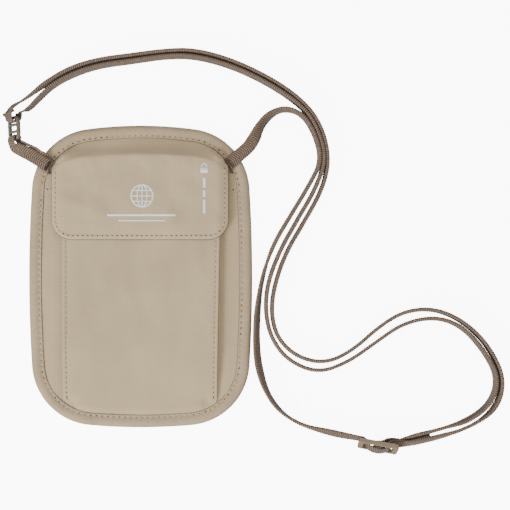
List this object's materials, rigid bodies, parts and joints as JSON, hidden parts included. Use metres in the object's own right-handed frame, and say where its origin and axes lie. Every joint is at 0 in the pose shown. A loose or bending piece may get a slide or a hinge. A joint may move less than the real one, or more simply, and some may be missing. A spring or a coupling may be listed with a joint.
{
  "type": "neck pouch wallet",
  "caption": "Flat zip travel pouch with rounded bound edges, a front pocket, a hook-and-loop flap and a long webbing neck strap with a ladder ring and an adjusting slider.",
  "frame": {"origin": "on the floor plane under the middle of the pouch, which lies on its back", "axes": "+X to the right seen from the front, +Y to the pouch's top edge with the flap's fold, +Z out of the pouch's front"},
  "size_m": [0.3031, 0.2472, 0.0123],
  "materials": {
    "binding_tape": "woven polyester tape, matt",
    "ripstop": "ripstop nylon, matt",
    "back_mesh": "padded back cloth, matt",
    "foil_lining": "metal-coated lining cloth, dull",
    "lining": "plain lining cloth, matt",
    "zip_tape": "woven zip tape, matt",
    "zip_coil": "nylon coil, matt",
    "zip_metal": "painted die-cast metal, satin",
    "hook_loop": "hook and loop, matt",
    "flap_cloth": "ripstop nylon, matt",
    "webbing": "ribbed woven webbing, matt",
    "thread": "bonded thread, matt",
    "ring_plastic": "moulded acetal, satin",
    "slider_plastic": "moulded acetal, satin"
  },
  "bodies": {
    "pouch": {"edge_binding": "binding_tape", "back_panel": "back_mesh", "rfid_lining_rear": "foil_lining", "rfid_lining_front": "foil_lining", "front_panel_lower": "ripstop", "front_panel_upper": "ripstop", "zip_tape_lower": "zip_tape", "zip_tape_upper": "zip_tape", "zip_coil_lower": "zip_coil", "zip_coil_upper": "zip_coil", "zip_end_stops": "zip_metal", "pocket_panel": "ripstop", "pocket_gusset_left": "ripstop", "pocket_gusset_right": "ripstop", "pocket_bottom": "ripstop", "pocket_hem": "ripstop", "loop_patch": "hook_loop", "flap_root": "flap_cloth", "strap_bartacks": "thread", "ring_loop": "webbing", "neck_strap_single": "webbing", "strap_through_slider": "webbing", "neck_strap_outer": "webbing", "strap_ring_bend": "webbing", "neck_strap_inner": "webbing", "strap_sewn_end": "webbing"},
    "flap": {"flap_outer": "flap_cloth", "flap_lining": "lining", "hook_patch": "hook_loop"},
    "zip_slider": {"zip_slider": "zip_metal"},
    "zip_pull": {"zip_pull": "zip_metal"},
    "ladder_ring": {"ladder_ring": "ring_plastic"},
    "strap_slider": {"strap_slider": "slider_plastic"}
  },
  "joints": [
    {"name": "flap_fold", "type": "hinge", "parent": "pouch", "child": "flap", "pos_m": [0, 0.0719, 0.0104], "axis": [-1, 0, 0], "range_deg": [0, 170]},
    {"name": "zip_slide", "type": "slide", "parent": "pouch", "child": "zip_slider", "axis": [1, 0, 0], "range_m": [-0.088, 0]},
    {"name": "zip_pull_flip", "type": "hinge", "parent": "zip_slider", "child": "zip_pull", "pos_m": [0.046, 0.0673, 0.00537], "axis": [0, 1, 0], "range_deg": [0, 18]},
    {"name": "ring_swing", "type": "hinge", "parent": "pouch", "child": "ladder_ring", "pos_m": [-0.07631, 0.08361, 0.0066], "axis": [0.6009, 0.0265, 0.7989], "range_deg": [-5, 5]},
    {"name": "slider_tilt", "type": "hinge", "parent": "pouch", "child": "strap_slider", "pos_m": [0.1447, -0.1032, 0.0066], "axis": [0.082, 0.4465, 0.891], "range_deg": [-3, 3]}
  ]
}
